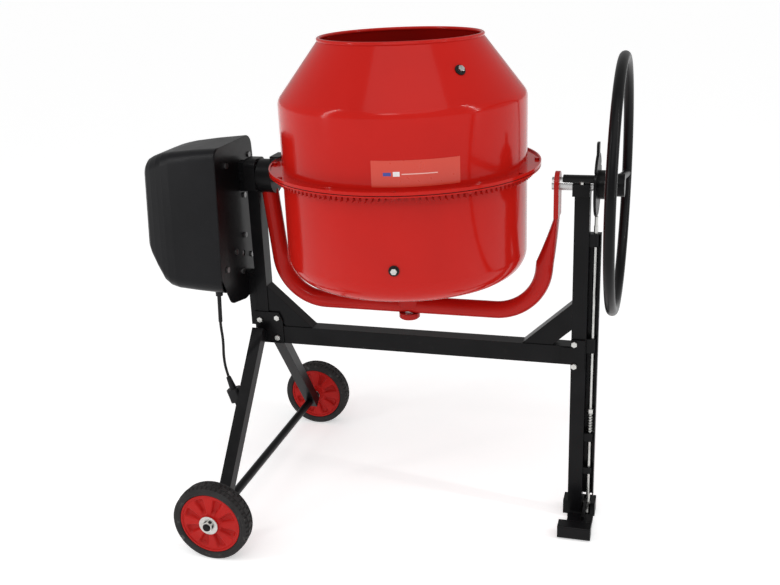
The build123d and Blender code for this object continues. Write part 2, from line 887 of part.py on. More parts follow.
def power_plug():
    end = Vector(*cord_points()[-1])
    way = end - Vector(*cord_points()[-2])
    relief = Plane(origin=end - way.normalized() * 34, z_dir=way)
    boot = loft([relief * Circle(6), (relief.offset(34)) * Circle(9)])
    body_plane = relief.offset(33)
    body = extrude(body_plane * RectangleRounded(34, 26, 8), amount=36)
    pins = []
    for side in (-9.5, 9.5):
        pins.append(body_plane.offset(36) * Pos(side, 0, 8) * Cylinder(2.4, 18))
    return boot + body + pins


# ---------------------------------------------------------------- yoke

def yoke_line(inner=False):
    radius = yoke_tube_radius - (yoke_tube_wall if inner else 0)
    slope = (yoke_top_x - yoke_corner_x) / (yoke_left_top - yoke_low_height)
    right_x = yoke_corner_x + slope * (yoke_right_round_top - yoke_low_height)
    points = [
        (-yoke_top_x, 0, yoke_left_top),
        (-yoke_corner_x, 0, yoke_low_height),
        (yoke_corner_x, 0, yoke_low_height),
        (right_x, 0, yoke_right_round_top),
    ]
    path = FilletPolyline(*points, radius=yoke_bend_radius)
    start = Plane(origin=points[0], z_dir=Vector(*points[1]) - Vector(*points[0]))
    end = Plane(origin=points[3], x_dir=(1, 0, 0), z_dir=Vector(*points[3]) - Vector(*points[2]))
    return sweep(start * Circle(radius), path=path), end


def yoke_tube():
    tube, end = yoke_line()
    hollow, _ = yoke_line(inner=True)
    neck = loft([
        end * Circle(yoke_tube_radius),
        Pos(ear_center_x - 13.5, 0, ear_bottom - 65) * Ellipse(14, 25.5),
        Pos(ear_center_x, 0, ear_bottom) * Ellipse(ear_thickness / 2, ear_width / 2),
    ])
    left = ear_center_x - ear_thickness / 2
    right = ear_center_x + ear_thickness / 2
    ear = block(left, right, -ear_width / 2, ear_width / 2, ear_bottom - 4, axis_height)
    ear = ear + bar_x(ear_width / 2, left, right)
    boss = bar_z(spindle_boss_radius, yoke_low_height, axis_height + spindle_boss_top)
    bore = bar_z(spindle_radius, yoke_low_height - 40, axis_height + spindle_boss_top + 1)
    shape = tube - hollow + neck + ear
    boss = boss - hollow
    shape = shape + boss - bore
    return shape - bar_x(trunnion_radius, left - 1, right + 1)


def left_hub():
    barrel = bar_x(left_hub_radius, left_hub_outer_x, left_hub_inner_x)
    sleeve = bar_x(sleeve_radius, sleeve_end_x, left_hub_outer_x + 1)
    upright = block(left_hub_inner_x - guard_sheet, left_hub_inner_x, -guard_half_width, guard_half_width,
                    axis_height, axis_height + guard_height)
    hood = block(left_hub_inner_x - guard_sheet, left_hub_inner_x + guard_reach, -guard_half_width,
            guard_half_width,
                 axis_height + guard_height - guard_sheet, axis_height + guard_height)
    bore = bar_x(sleeve_bore_radius, sleeve_end_x - 1, left_hub_inner_x + 1)
    tube, _ = yoke_line()
    return barrel + sleeve + upright + hood - bore - tube


def pinion_bushes():
    ends = [sleeve_end_x, left_hub_inner_x - pinion_bush_length]
    bore = bar_x(pinion_shaft_radius + shaft_clearance, sleeve_end_x - 1, left_hub_inner_x + 1)
    return [bar_x(sleeve_bore_radius, x, x + pinion_bush_length) - bore for x in ends]


def drum_spindle():
    low = yoke_low_height - yoke_tube_radius - spindle_nut_height + 4
    return bar_z(spindle_radius, low, axis_height + spindle_top)


def spindle_nut():
    top = yoke_low_height - yoke_tube_radius + 1
    nut = bar_z(spindle_nut_radius, top - spindle_nut_height - 1, top)
    nut = chamfer(nut.faces().sort_by(Axis.Z)[0].edges(), 3)
    tube, _ = yoke_line()
    return nut - drum_spindle() - tube


def right_trunnion_shaft():
    return bar_x(trunnion_radius, trunnion_inner_x, trunnion_outer_x)


def index_plate():
    end = index_x + index_thickness
    disc = bar_x(index_radius, index_x, end)
    tab = block(index_x, end, -index_tab_half_width, index_tab_half_width, axis_height, axis_height
            + index_tab_radius)
    tab = fillet(tab.edges().filter_by(Axis.X).group_by(Axis.Z)[-1], 6)
    boss = bar_x(index_boss_radius, end - 1, index_boss_end_x)
    shape = disc + tab + boss
    bottom = axis_height - index_radius
    notch = block(index_x - 1, end + 1, -notch_half_width, notch_half_width, bottom - 5, bottom + notch_depth)
    for angle in (-tilt_limit, 0, tilt_limit):
        shape = shape - Pos(0, 0, axis_height) * Rot(angle, 0, 0) * Pos(0, 0, -axis_height) * notch
    return shape - bar_x(trunnion_radius, index_x - 1, index_boss_end_x + 1)


def radial_point(x, reach, lean):
    return (x, reach * math.cos(lean), axis_height + reach * math.sin(lean))


def handwheel():
    rim = Pos(handwheel_x, 0, axis_height) * Rot(0, 90, 0) * Torus(handwheel_radius, handwheel_tube)
    hub_left = index_boss_end_x + 2
    hub = bar_x(handwheel_hub_radius, hub_left, handwheel_x + handwheel_tube)
    spoke_x = (hub_left + trunnion_outer_x) / 2
    lean = math.radians(handwheel_lean)
    spokes = []
    for side in (-1, 1):
        start = radial_point(spoke_x, side * (trunnion_radius + 3), lean)
        end = radial_point(handwheel_x, side * handwheel_radius, lean)
        spokes.append(bar_between(start, end, handwheel_spoke))
    shape = rim + hub + spokes
    return shape - bar_x(trunnion_radius, hub_left - 1, trunnion_outer_x)


# ---------------------------------------------------------------- stand

left_face_x = left_column_x + left_column_width
beam_top = beam_bottom + beam_height
beam_half = beam_depth / 2


def left_bolt_places():
    return [(left_column_x + 6, beam_top + 16), (left_face_x + 24, beam_top + 24), (left_face_x + 22,
            beam_bottom + 16)]


def right_bolt_places():
    return [(right_column_x + 8, beam_top + 8), (right_column_x + 8, beam_bottom - 2)]


def frame_bolt_holes():
    places = left_bolt_places() + right_bolt_places()
    return [bar_y(frame_bolt_radius + bolt_clearance, -40, 40, x, z) for x, z in places]


def frame_bolts():
    bolts = []
    outer = beam_half + gusset_sheet
    for x, z in left_bolt_places() + right_bolt_places():
        shank = bar_y(frame_bolt_radius, -outer - 1, outer + 8, x, z)
        head = hexagon_prism(Plane(origin=(x, -outer, z), z_dir=(0, -1, 0)), 2 * frame_bolt_head,
                frame_bolt_head_height)
        nut = hexagon_prism(Plane(origin=(x, outer, z), z_dir=(0, 1, 0)), 2 * frame_bolt_head,
                frame_bolt_head_height)
        bolts.append(shank + head + nut)
    return bolts


def cross_beam():
    outer = block(left_face_x, right_column_x, -beam_half, beam_half, beam_bottom, beam_top)
    inner = block(left_face_x - 1, right_column_x + 1, -beam_half + tube_wall, beam_half - tube_wall,
                  beam_bottom + tube_wall, beam_top - tube_wall)
    return outer - inner - frame_bolt_holes()


def left_column():
    half = left_column_depth / 2
    tube = block(left_column_x, left_face_x, -half, half, beam_bottom, left_column_top)
    room = block(left_column_x + tube_wall, left_face_x - tube_wall, -half + tube_wall, half - tube_wall,
                 beam_bottom - 1, left_column_top)
    head = block(left_column_x, left_face_x, -bearing_head_half_width, bearing_head_half_width,
                 left_column_top, bearing_head_top)
    head = fillet(head.edges().filter_by(Axis.X).group_by(Axis.Z)[-1], 24)
    pads = []
    for low, high in ((beam_top, lower_pad_top), (upper_pad_bottom, upper_pad_top)):
        pads.append(block(left_column_x - motor_pad_thickness, left_column_x, -motor_pad_half_width,
                          motor_pad_half_width, low, high))
    bush_hole = bar_x(bush_outer_radius, left_column_x, left_face_x + 1)
    sleeve_hole = bar_x(sleeve_radius + 1, left_column_x - motor_pad_thickness - 1, left_column_x + 1)
    return tube - room + head + pads - bush_hole - sleeve_hole - frame_bolt_holes()


def left_bearing_bush():
    ring = bar_x(bush_outer_radius, left_column_x, left_face_x)
    return ring - bar_x(sleeve_radius + shaft_clearance, left_column_x - 1, left_face_x + 1)


def right_column():
    half = right_column_width / 2
    end = right_column_x + right_column_width
    tube = block(right_column_x, end, -half, half, 0, right_column_top)
    room = block(right_column_x + tube_wall, end - tube_wall, -half + tube_wall, half - tube_wall,
                 tube_wall, right_column_top - 4)
    saddle = block(right_column_x - 4, end, -saddle_half_width, saddle_half_width, right_column_top,
            axis_height)
    groove = bar_x(trunnion_radius + shaft_clearance, right_column_x - 5, end + 1)
    bolts = cap_bolt_holes()
    return tube - room + saddle - groove - bolts - frame_bolt_holes()


def cap_bolt_places():
    middle = right_column_x + right_column_width / 2
    reach = saddle_half_width - cap_bolt_inset
    return [(middle, -reach), (middle, reach)]


def cap_bolt_holes():
    radius = cap_bolt_radius + bolt_clearance
    return [bar_z(radius, right_column_top + 2, axis_height + 20, x, y) for x, y in cap_bolt_places()]


def right_bearing_cap():
    arch = bar_x(trunnion_radius + cap_sheet, cap_left_x, cap_right_x)
    arch = arch - block(cap_left_x - 1, cap_right_x + 1, -40, 40, axis_height - 60, axis_height + 9)
    end = right_column_x + right_column_width
    middle = bar_x(trunnion_radius + cap_sheet, right_column_x - 4, end)
    middle = middle - block(cap_left_x, cap_right_x, -40, 40, axis_height - 60, axis_height)
    ears = block(right_column_x - 4, end, -saddle_half_width, saddle_half_width, axis_height, axis_height + 6)
    groove = bar_x(trunnion_radius + shaft_clearance, cap_left_x - 1, cap_right_x + 1)
    return arch + middle + ears - groove - cap_bolt_holes()


def cap_bolts():
    bolts = []
    for x, y in cap_bolt_places():
        seat = axis_height + 6
        shank = bar_z(cap_bolt_radius, right_column_top + 3, seat + 1, x, y)
        bolts.append(shank + hexagon_prism(Plane(origin=(x, y, seat)), 10, 5))
    return bolts


def brace(side, column_x):
    slope = brace_rise / brace_run
    drop = brace_width * math.hypot(1, slope)
    top_z = beam_top + brace_rise
    foot_x = column_x + side * brace_run
    inner_foot_x = column_x + side * (brace_rise - drop) / slope
    half = brace_depth / 2
    outer = prism_y([(column_x, top_z), (foot_x, beam_top), (inner_foot_x, beam_top), (column_x, top_z
            - drop)],
                    -half, half)
    inset = tube_wall * math.hypot(1, slope)
    reach = side * 30
    upper_a = (column_x - reach, top_z - inset + 30 * slope)
    upper_b = (foot_x + reach, beam_top - inset - 30 * slope)
    lower_a = (column_x - reach, top_z - drop + inset + 30 * slope)
    lower_b = (foot_x + reach, beam_top - drop + inset - 30 * slope)
    inner = prism_y([upper_a, upper_b, lower_b, lower_a], -half + tube_wall, half - tube_wall)
    return outer - inner - frame_bolt_holes()


def gusset_plates():
    left = [
        (left_column_x - 8, beam_bottom), (left_face_x + 38, beam_bottom), (left_face_x + 38, beam_top + 16),
        (left_face_x + 28, beam_top + 38), (left_column_x - 8, beam_top + 38),
    ]
    right_end = right_column_x + right_column_width - 2
    tail = [
        (right_column_x - 24, beam_bottom + 2), (right_column_x, beam_bottom + 2),
        (right_column_x, beam_top - 2), (right_column_x - 24, beam_top - 2),
    ]
    pad = [
        (right_column_x, beam_bottom - 12), (right_end, beam_bottom - 12),
        (right_end, beam_top + 18), (right_column_x, beam_top + 18),
    ]
    plates = []
    outer = beam_half + gusset_sheet
    column_half = right_column_width / 2
    for side in (-1, 1):
        plates.append(prism_y(left, side * beam_half, side * outer) - frame_bolt_holes())
        plate = prism_y(tail, side * beam_half, side * outer) + prism_y(pad, side * column_half, side * outer)
        plates.append(plate - frame_bolt_holes())
    return plates


def leg_envelope(side):
    top = Vector(leg_top_x, side * leg_top_y, leg_top_z)
    low = Vector(wheel_x, side * leg_low_y, wheel_radius)
    way = (low - top).normalized()
    plane = Plane(origin=top, x_dir=(1, 0, 0), z_dir=way)
    length = (low - top).length + leg_overrun
    return plane * Pos(0, 0, (length + leg_start) / 2) * Box(leg_width, leg_width, length - leg_start)


def leg(side):
    top = Vector(leg_top_x, side * leg_top_y, leg_top_z)
    low = Vector(wheel_x, side * leg_low_y, wheel_radius)
    way = (low - top).normalized()
    plane = Plane(origin=top, x_dir=(1, 0, 0), z_dir=way)
    length = (low - top).length + leg_overrun
    outer = leg_envelope(side)
    inner_width = leg_width - 2 * tube_wall
    inner = plane * Pos(0, 0, (length + leg_start) / 2) * Box(inner_width, inner_width, length
            - leg_start + 2)
    face = beam_half + gusset_sheet
    keep_off = block(left_column_x - 60, left_face_x + 60, -face, face, beam_bottom - 80, beam_top + 120)
    axle_hole = bar_y(axle_radius, -wheel_outer_y, wheel_outer_y, wheel_x, wheel_radius)
    bolts = []
    for x, z in left_bolt_places():
        bolts.append(bar_y(frame_bolt_head + 2.5, -60, 60, x, z))
    return outer - inner - keep_off - axle_hole - bolts


def wheel_axle():
    rod = bar_y(axle_radius, -axle_end_y, axle_end_y, wheel_x, wheel_radius)
    tube = bar_y(axle_tube_radius, -leg_low_y + 4, leg_low_y - 4, wheel_x, wheel_radius)
    return rod + (tube - leg_envelope(-1) - leg_envelope(1))


def axle_nuts():
    parts = []
    axle_rod = bar_y(axle_radius, -axle_end_y, axle_end_y, wheel_x, wheel_radius)
    seat = wheel_outer_y + disc_hub_extra + 0.4
    inner_seat = wheel_outer_y - wheel_width - disc_hub_extra - 0.4
    for side in (-1, 1):
        plane = Plane(origin=(wheel_x, side * seat, wheel_radius), z_dir=(0, side, 0))
        washer = plane * Pos(0, 0, 1) * Cylinder(24, 2)
        nut = hexagon_prism(plane.offset(2), 24, 9)
        parts.append(washer + nut - axle_rod)
        stop = Plane(origin=(wheel_x, side * inner_seat, wheel_radius), z_dir=(0, -side, 0))
        parts.append(stop * Pos(0, 0, 0.75) * Cylinder(14, 1.5) - axle_rod)
    return parts


def wheel_tyre(side):
    plane = Plane(origin=(wheel_x, side * (wheel_outer_y - wheel_width / 2), wheel_radius), z_dir=(0,
            side, 0))
    body = Cylinder(wheel_radius, wheel_width)
    rims = body.edges().filter_by(GeomType.CIRCLE)
    body = fillet(rims, 7)
    return plane * (body - Cylinder(disc_radius, wheel_width + 2))


def wheel_disc(side):
    plane = Plane(origin=(wheel_x, side * (wheel_outer_y - wheel_width / 2), wheel_radius), z_dir=(0,
            side, 0))
    half = wheel_width / 2
    rim = Cylinder(disc_radius, wheel_width - 6) - Cylinder(disc_radius - 5, wheel_width)
    web = Pos(0, 0, half - 12) * Cylinder(disc_radius - 4, 5)
    hub = Cylinder(disc_hub_radius, wheel_width + 2 * disc_hub_extra)
    ribs = []
    for k in range(8):
        rib = Pos(disc_radius / 2 + 6, 0, half - 8) * Box(disc_radius - 14, 5, 6)
        ribs.append(Rot(0, 0, 45 * k + 10) * rib)
    back = []
    for k in range(8):
        rib = Pos(disc_radius / 2 + 6, 0, -2) * Box(disc_radius - 14, 4, wheel_width - 18)
        back.append(Rot(0, 0, 45 * k + 10) * rib)
    shape = rim + web + hub + ribs + back
    return plane * (shape - Cylinder(axle_radius + shaft_clearance, wheel_width + 20))


# ---------------------------------------------------------------- foot, pedal and lock

def foot_shoe():
    shoe = block(foot_left_x, foot_right_x, foot_front_y, foot_rear_y, 0, foot_height)
    half = right_column_width / 2
    pocket = block(right_column_x, right_column_x + right_column_width, -half, half, -1, foot_height + 1)
    slot = block(foot_slot_left_x, foot_slot_right_x, foot_front_y - 1, foot_slot_rear_y, foot_floor,
            foot_height + 1)
    return shoe - pocket - slot - pedal_pin()


def pedal_pin():
    return bar_x(pedal_pin_radius, foot_slot_left_x - 11, foot_right_x - 3, pedal_pivot_y, pedal_pivot_z)


def foot_pedal():
    low = pedal_pivot_z - 10
    high = pedal_pivot_z + 10
    arm = block(pedal_arm_left_x, pedal_arm_right_x, -60, pedal_pivot_y + 8, low, high)
    plate = block(foot_left_x + 17, foot_right_x - 1, tread_rear_y - 2, -28, low - 2, low + 8)
    tread = block(foot_left_x, foot_right_x, tread_front_y, tread_rear_y, tread_bottom, tread_top)
    tread = fillet(tread.edges().filter_by(Axis.X), 4)
    tread = tread - block(foot_left_x + 3, foot_right_x - 3, tread_front_y + 3, tread_rear_y - 3, 0,
            tread_top - 4)
    link = bar_x(link_pin_radius, pedal_arm_right_x - 1, rod_x + 4, 0, pedal_pivot_z)
    bore = bar_x(pedal_pin_radius + shaft_clearance, pedal_arm_left_x - 1, pedal_arm_right_x + 1,
                 pedal_pivot_y, pedal_pivot_z)
    return arm + plate + tread + link - bore


def lock_rod():
    rod = bar_z(rod_radius, pedal_pivot_z + 18, rod_shoulder, rod_x)
    pin = bar_z(latch_pin_radius, rod_shoulder - 1, latch_pin_top, rod_x)
    pin = chamfer(pin.faces().sort_by(Axis.Z)[-1].edges(), 1)
    collar = bar_z(collar_radius, collar_bottom, collar_bottom + collar_height, rod_x)
    eye = block(rod_x - 2, rod_x + 2, -7, 9, pedal_pivot_z - 10, pedal_pivot_z + 22)
    arm_length = pedal_pivot_y
    swing = arm_length * (1 - math.cos(math.radians(pedal_lift_angle)))
    slot = block(rod_x - 3, rod_x + 3, -link_pin_radius - slot_clearance, link_pin_radius + swing
            + slot_clearance,
                 pedal_pivot_z - link_pin_radius - slot_clearance, pedal_pivot_z + link_pin_radius + slot_clearance)
    return rod + pin + collar + (eye - slot)


def lock_spring():
    wire = spring_wire_radius
    height = collar_bottom - spring_seat_top - 2 * wire
    helix = Helix(pitch=height / spring_turns, height=height, radius=spring_mean_radius)
    path = Pos(rod_x, 0, spring_seat_top + wire) * helix
    section = Plane(origin=path @ 0, z_dir=path % 0) * Circle(wire)
    return sweep(section, path=path, is_frenet=True)


def rod_guides():
    heights = [
        (channel_high - guide_length, channel_high), (beam_bottom + 28.5, beam_bottom + 64.5),
        (spring_seat_top - 22, spring_seat_top), (channel_low + 64, channel_low + 81),
    ]
    start = right_column_x + right_column_width
    guides = []
    for low, high in heights:
        arm = block(start, rod_x, -10, 10, low, high)
        eye = bar_z(10, low, high, rod_x)
        bore = bar_z(rod_radius + shaft_clearance, low - 1, high + 1, rod_x)
        guides.append(arm + eye - bore)
    back = collar_radius + channel_gap
    right = rod_x + collar_radius + channel_sheet + 1.5
    web = block(start, right, back, back + channel_sheet, channel_low, channel_high)
    flange = block(right - channel_sheet, right, -8, back + channel_sheet, channel_low, channel_high)
    channel = web + flange
    for guide in guides:
        channel = channel + guide
    return channel


# ---------------------------------------------------------------- all pieces

cover = motor_cover()
cord = power_cord()
lower_half = lower_drum()
upper_half = upper_drum()

pieces = {
    "cross_beam": cross_beam(),
    "left_column": left_column(),
    "right_column": right_column(),
    "left_brace": brace(1, left_face_x),
    "right_brace": brace(-1, right_column_x),
    "front_leg": leg(-1),
    "rear_leg": leg(1),
    "gusset_plates": gusset_plates(),
    "frame_bolts": frame_bolts() + cap_bolts(),
    "wheel_axle": wheel_axle(),
    "axle_nuts": axle_nuts(),
    "foot_shoe": foot_shoe(),
    "left_bearing_bush": left_bearing_bush(),
    "right_bearing_cap": right_bearing_cap(),
    "rod_guides": rod_guides(),
    "motor_plate": motor_plate(),
    "motor_cover": cover,
    "housing_screws": housing_screws(),
    "motor_case": motor_case(),
    "capacitor": capacitor(),
    "switch_box": switch_box(),
    "drive_belt": drive_belt(),
    "cord_gland": cord_gland() - cover - cord,
    "power_cord": cord,
    "power_plug": power_plug() - cord,
    "pedal_pin": pedal_pin(),
    "yoke_tube": yoke_tube(),
    "left_hub": left_hub(),
    "pinion_bushes": pinion_bushes(),
    "drum_spindle": drum_spindle(),
    "spindle_nut": spindle_nut(),
    "right_trunnion_shaft": right_trunnion_shaft(),
    "index_plate": index_plate(),
    "handwheel": handwheel(),
    "lower_drum": lower_half,
    "upper_drum": upper_half,
    "flange_gasket": flange_gasket(),
    "ring_gear": ring_gear(),
    "drum_bolts": flange_bolts() + hub_bolts(),
    "drum_hub": drum_hub(),
    "drum_bearings": drum_bearings(),
    "front_blade": mixing_blade(0),
    "rear_blade": mixing_blade(180),
    "blade_bolts": blade_bolts(),
    "blade_washers": blade_washers(),
    "drum_label": drum_label(),
    "pinion": pinion(),
    "pinion_shaft": pinion_shaft(),
    "large_pulley": large_pulley(),
    "motor_rotor": motor_rotor(),
    "small_pulley": small_pulley(),
    "front_tyre": wheel_tyre(-1),
    "rear_tyre": wheel_tyre(1),
    "front_wheel_disc": wheel_disc(-1),
    "rear_wheel_disc": wheel_disc(1),
    "lock_rod": lock_rod(),
    "lock_spring": lock_spring(),
    "foot_pedal": foot_pedal(),
    "start_button": push_button(start_button_z),
    "stop_button": push_button(stop_button_z),
}

os.makedirs("parts", exist_ok=True)
for name, shape in pieces.items():
    solids = shape if isinstance(shape, list) else shape.solids()
    moved = [Pos(frame_shift, 0, 0) * one.solids()[0] for one in solids]
    whole = moved[0] if len(moved) == 1 else Compound(moved)
    whole.label = name
    export_step(whole, "parts/" + name + ".step")

print("cord bend radii, mm:", [round(radius, 1) for radius in bend_radii(cord_points())])
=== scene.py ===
import math
import bmesh
import bpy
from mathutils import Matrix, Vector


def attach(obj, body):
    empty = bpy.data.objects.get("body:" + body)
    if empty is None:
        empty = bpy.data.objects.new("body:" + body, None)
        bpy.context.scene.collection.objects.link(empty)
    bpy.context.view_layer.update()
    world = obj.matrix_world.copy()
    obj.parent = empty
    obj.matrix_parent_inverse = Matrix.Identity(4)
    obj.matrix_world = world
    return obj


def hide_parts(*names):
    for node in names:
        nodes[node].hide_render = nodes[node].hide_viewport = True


# Concrete mixer looks. Metres, +Z up, X along the tilt axis, the same frame as the CAD.
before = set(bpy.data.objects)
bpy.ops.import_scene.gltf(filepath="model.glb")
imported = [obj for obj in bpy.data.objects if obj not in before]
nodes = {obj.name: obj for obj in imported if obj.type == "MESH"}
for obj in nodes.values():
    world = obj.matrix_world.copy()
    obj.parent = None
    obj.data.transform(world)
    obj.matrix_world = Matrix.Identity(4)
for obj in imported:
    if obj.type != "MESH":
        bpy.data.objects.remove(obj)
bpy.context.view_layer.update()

SHIFT = 0.071        # the CAD is centred on its box: the drum axis lies at this X
AXIS = 0.863         # height of the tilt axis


# ------------------------------------------------------------------ materials

def material(name, color, rough, metal=0.0, coat=0.0, mottle=0.12, mottle_scale=9.0, rough_spread=0.06,
             bumps=(), edge=0.0, specular=0.5, dust=0.0):
    """Principled material: colour and roughness drift over the surface, and each bump is (scale, height)."""
    mat = bpy.data.materials.new(name)
    mat.use_nodes = True
    tree = mat.node_tree
    shader = tree.nodes["Principled BSDF"]
    shader.inputs["Metallic"].default_value = metal
    shader.inputs["Coat Weight"].default_value = coat
    shader.inputs["Coat Roughness"].default_value = 0.08
    shader.inputs["Specular IOR Level"].default_value = specular
    place = tree.nodes.new("ShaderNodeTexCoord")

    def noise(scale, detail=3.0):
        n = tree.nodes.new("ShaderNodeTexNoise")
        n.inputs["Scale"].default_value = scale
        n.inputs["Detail"].default_value = detail
        tree.links.new(place.outputs["Object"], n.inputs["Vector"])
        return n

    ramp = tree.nodes.new("ShaderNodeValToRGB")
    ramp.color_ramp.elements[0].position = 0.3
    ramp.color_ramp.elements[1].position = 0.7
    ramp.color_ramp.elements[0].color = (*[c * (1 - mottle) for c in color], 1)
    ramp.color_ramp.elements[1].color = (*[min(1, c * (1 + mottle)) for c in color], 1)
    tree.links.new(noise(mottle_scale).outputs["Fac"], ramp.inputs["Fac"])
    out = ramp.outputs["Color"]
    if dust:
        speck = tree.nodes.new("ShaderNodeMix")
        speck.data_type = "RGBA"
        speck.inputs["B"].default_value = (0.45, 0.43, 0.4, 1)
        cut = tree.nodes.new("ShaderNodeMapRange")
        cut.inputs["From Min"].default_value = 0.62
        cut.inputs["From Max"].default_value = 0.85
        cut.inputs["To Max"].default_value = dust
        tree.links.new(noise(55, 6).outputs["Fac"], cut.inputs["Value"])
        tree.links.new(cut.outputs["Result"], speck.inputs["Factor"])
        tree.links.new(out, speck.inputs["A"])
        out = speck.outputs["Result"]
    tree.links.new(out, shader.inputs["Base Color"])
    spread = tree.nodes.new("ShaderNodeMapRange")
    spread.inputs["To Min"].default_value = max(0.02, rough - rough_spread)
    spread.inputs["To Max"].default_value = min(1, rough + rough_spread)
    tree.links.new(noise(mottle_scale * 4, 5).outputs["Fac"], spread.inputs["Value"])
    tree.links.new(spread.outputs["Result"], shader.inputs["Roughness"])
    normal = None
    if edge:
        bevel = tree.nodes.new("ShaderNodeBevel")
        bevel.samples = 4
        bevel.inputs["Radius"].default_value = edge
        normal = bevel.outputs["Normal"]
    for scale, height in bumps:
        bump = tree.nodes.new("ShaderNodeBump")
        bump.inputs["Strength"].default_value = 0.6
        bump.inputs["Distance"].default_value = height
        tree.links.new(noise(scale, 4).outputs["Fac"], bump.inputs["Height"])
        if normal is not None:
            tree.links.new(normal, bump.inputs["Normal"])
        normal = bump.outputs["Normal"]
    if normal is not None:
        tree.links.new(normal, shader.inputs["Normal"])
    return mat


RED = (0.5, 0.011, 0.007)
paint_red = material("paint_red", RED, 0.14, coat=0.1, mottle=0.04, mottle_scale=5, rough_spread=0.03,
                     bumps=[(9, 0.0012), (260, 0.00004)], specular=0.12)
paint_red_plain = material("paint_red_plain", (0.42, 0.01, 0.007), 0.24, coat=0.08, mottle=0.06,
                           bumps=[(60, 0.0003), (300, 0.00006)],
                           specular=0.12, edge=0.001)
paint_red_inside = material("paint_red_inside", (0.4, 0.014, 0.01), 0.42, mottle=0.15, bumps=[(40, 0.0006)])
paint_black = material("paint_black", (0.004, 0.004, 0.0045), 0.32, coat=0.03, mottle=0.3, mottle_scale=14,
                       bumps=[(180, 0.00012)], edge=0.0015, dust=0.015, specular=0.12)
plastic_black = material("plastic_black", (0.005, 0.005, 0.006), 0.36, mottle=0.18, mottle_scale=7,
                         bumps=[(900, 0.00005), (30, 0.0003)], edge=0.002, specular=0.16)
plastic_dark = material("plastic_dark", (0.008, 0.008, 0.009), 0.45, specular=0.2, mottle=0.15,
                        bumps=[(700, 0.00008)], edge=0.001)
zinc = material("zinc", (0.55, 0.55, 0.53), 0.3, metal=1.0, mottle=0.16, mottle_scale=70, rough_spread=0.12,
                bumps=[(400, 0.00008)], edge=0.0006)
steel = material("steel", (0.5, 0.5, 0.5), 0.28, metal=1.0, mottle=0.12, mottle_scale=60, rough_spread=0.1)
bronze = material("bronze", (0.5, 0.33, 0.14), 0.4, metal=1.0, mottle=0.15)
cast = material("cast", (0.4, 0.4, 0.41), 0.5, metal=0.8, bumps=[(500, 0.0002)])
rubber = material("rubber", (0.009, 0.009, 0.009), 0.6, specular=0.2, mottle=0.2, bumps=[(500, 0.0001)])
rubber_tyre = material("rubber_tyre", (0.022, 0.021, 0.021), 0.66, specular=0.2, mottle=0.25,
                       mottle_scale=25, rough_spread=0.12, bumps=[(420, 0.0002), (60, 0.0003)], dust=0.25)
plastic_red = material("plastic_red", (0.42, 0.012, 0.01), 0.36, specular=0.12, mottle=0.08,
                       bumps=[(350, 0.0001)], edge=0.001)
plastic_green = material("plastic_green", (0.02, 0.25, 0.05), 0.3, mottle=0.08)
button_red = material("button_red", (0.5, 0.01, 0.01), 0.3, mottle=0.08)


def label_material():
    """Red panel with a blue bar, a white block and a thin pale line, each set by its place in X and Z."""
    mat = bpy.data.materials.new("label_print")
    mat.use_nodes = True
    tree = mat.node_tree
    shader = tree.nodes["Principled BSDF"]
    shader.inputs["Coat Weight"].default_value = 0.3
    place = tree.nodes.new("ShaderNodeTexCoord")
    split = tree.nodes.new("ShaderNodeSeparateXYZ")
    tree.links.new(place.outputs["Object"], split.inputs["Vector"])

    def inside(axis, low, high):
        over = tree.nodes.new("ShaderNodeMath")
        over.operation = "GREATER_THAN"
        over.inputs[1].default_value = low
        under = tree.nodes.new("ShaderNodeMath")
        under.operation = "LESS_THAN"
        under.inputs[1].default_value = high
        both = tree.nodes.new("ShaderNodeMath")
        both.operation = "MULTIPLY"
        tree.links.new(split.outputs[axis], over.inputs[0])
        tree.links.new(split.outputs[axis], under.inputs[0])
        tree.links.new(over.outputs[0], both.inputs[0])
        tree.links.new(under.outputs[0], both.inputs[1])
        return both.outputs[0]

    tint = tree.nodes.new("ShaderNodeRGB")
    tint.outputs[0].default_value = (0.62, 0.045, 0.02, 1)
    color = tint.outputs[0]
    bars = [
        ((0.104, 0.121), (0.074, 0.0815), (0.03, 0.05, 0.3, 1)),
        ((0.125, 0.139), (0.073, 0.083), (0.8, 0.8, 0.8, 1)),
        ((0.143, 0.214), (0.0765, 0.0785), (0.8, 0.5, 0.45, 1)),
    ]
    for (x0, x1), (z0, z1), bar in bars:
        both = tree.nodes.new("ShaderNodeMath")
        both.operation = "MULTIPLY"
        tree.links.new(inside("X", x0, x1), both.inputs[0])
        tree.links.new(inside("Z", AXIS + z0, AXIS + z1), both.inputs[1])
        mix = tree.nodes.new("ShaderNodeMix")
        mix.data_type = "RGBA"
        mix.inputs["B"].default_value = bar
        tree.links.new(both.outputs[0], mix.inputs["Factor"])
        tree.links.new(color, mix.inputs["A"])
        color = mix.outputs["Result"]
    tree.links.new(color, shader.inputs["Base Color"])
    soft = tree.nodes.new("ShaderNodeTexNoise")
    soft.inputs["Scale"].default_value = 80
    tree.links.new(place.outputs["Object"], soft.inputs["Vector"])
    spread = tree.nodes.new("ShaderNodeMapRange")
    spread.inputs["To Min"].default_value = 0.22
    spread.inputs["To Max"].default_value = 0.38
    tree.links.new(soft.outputs["Fac"], spread.inputs["Value"])
    tree.links.new(spread.outputs["Result"], shader.inputs["Roughness"])
    return mat


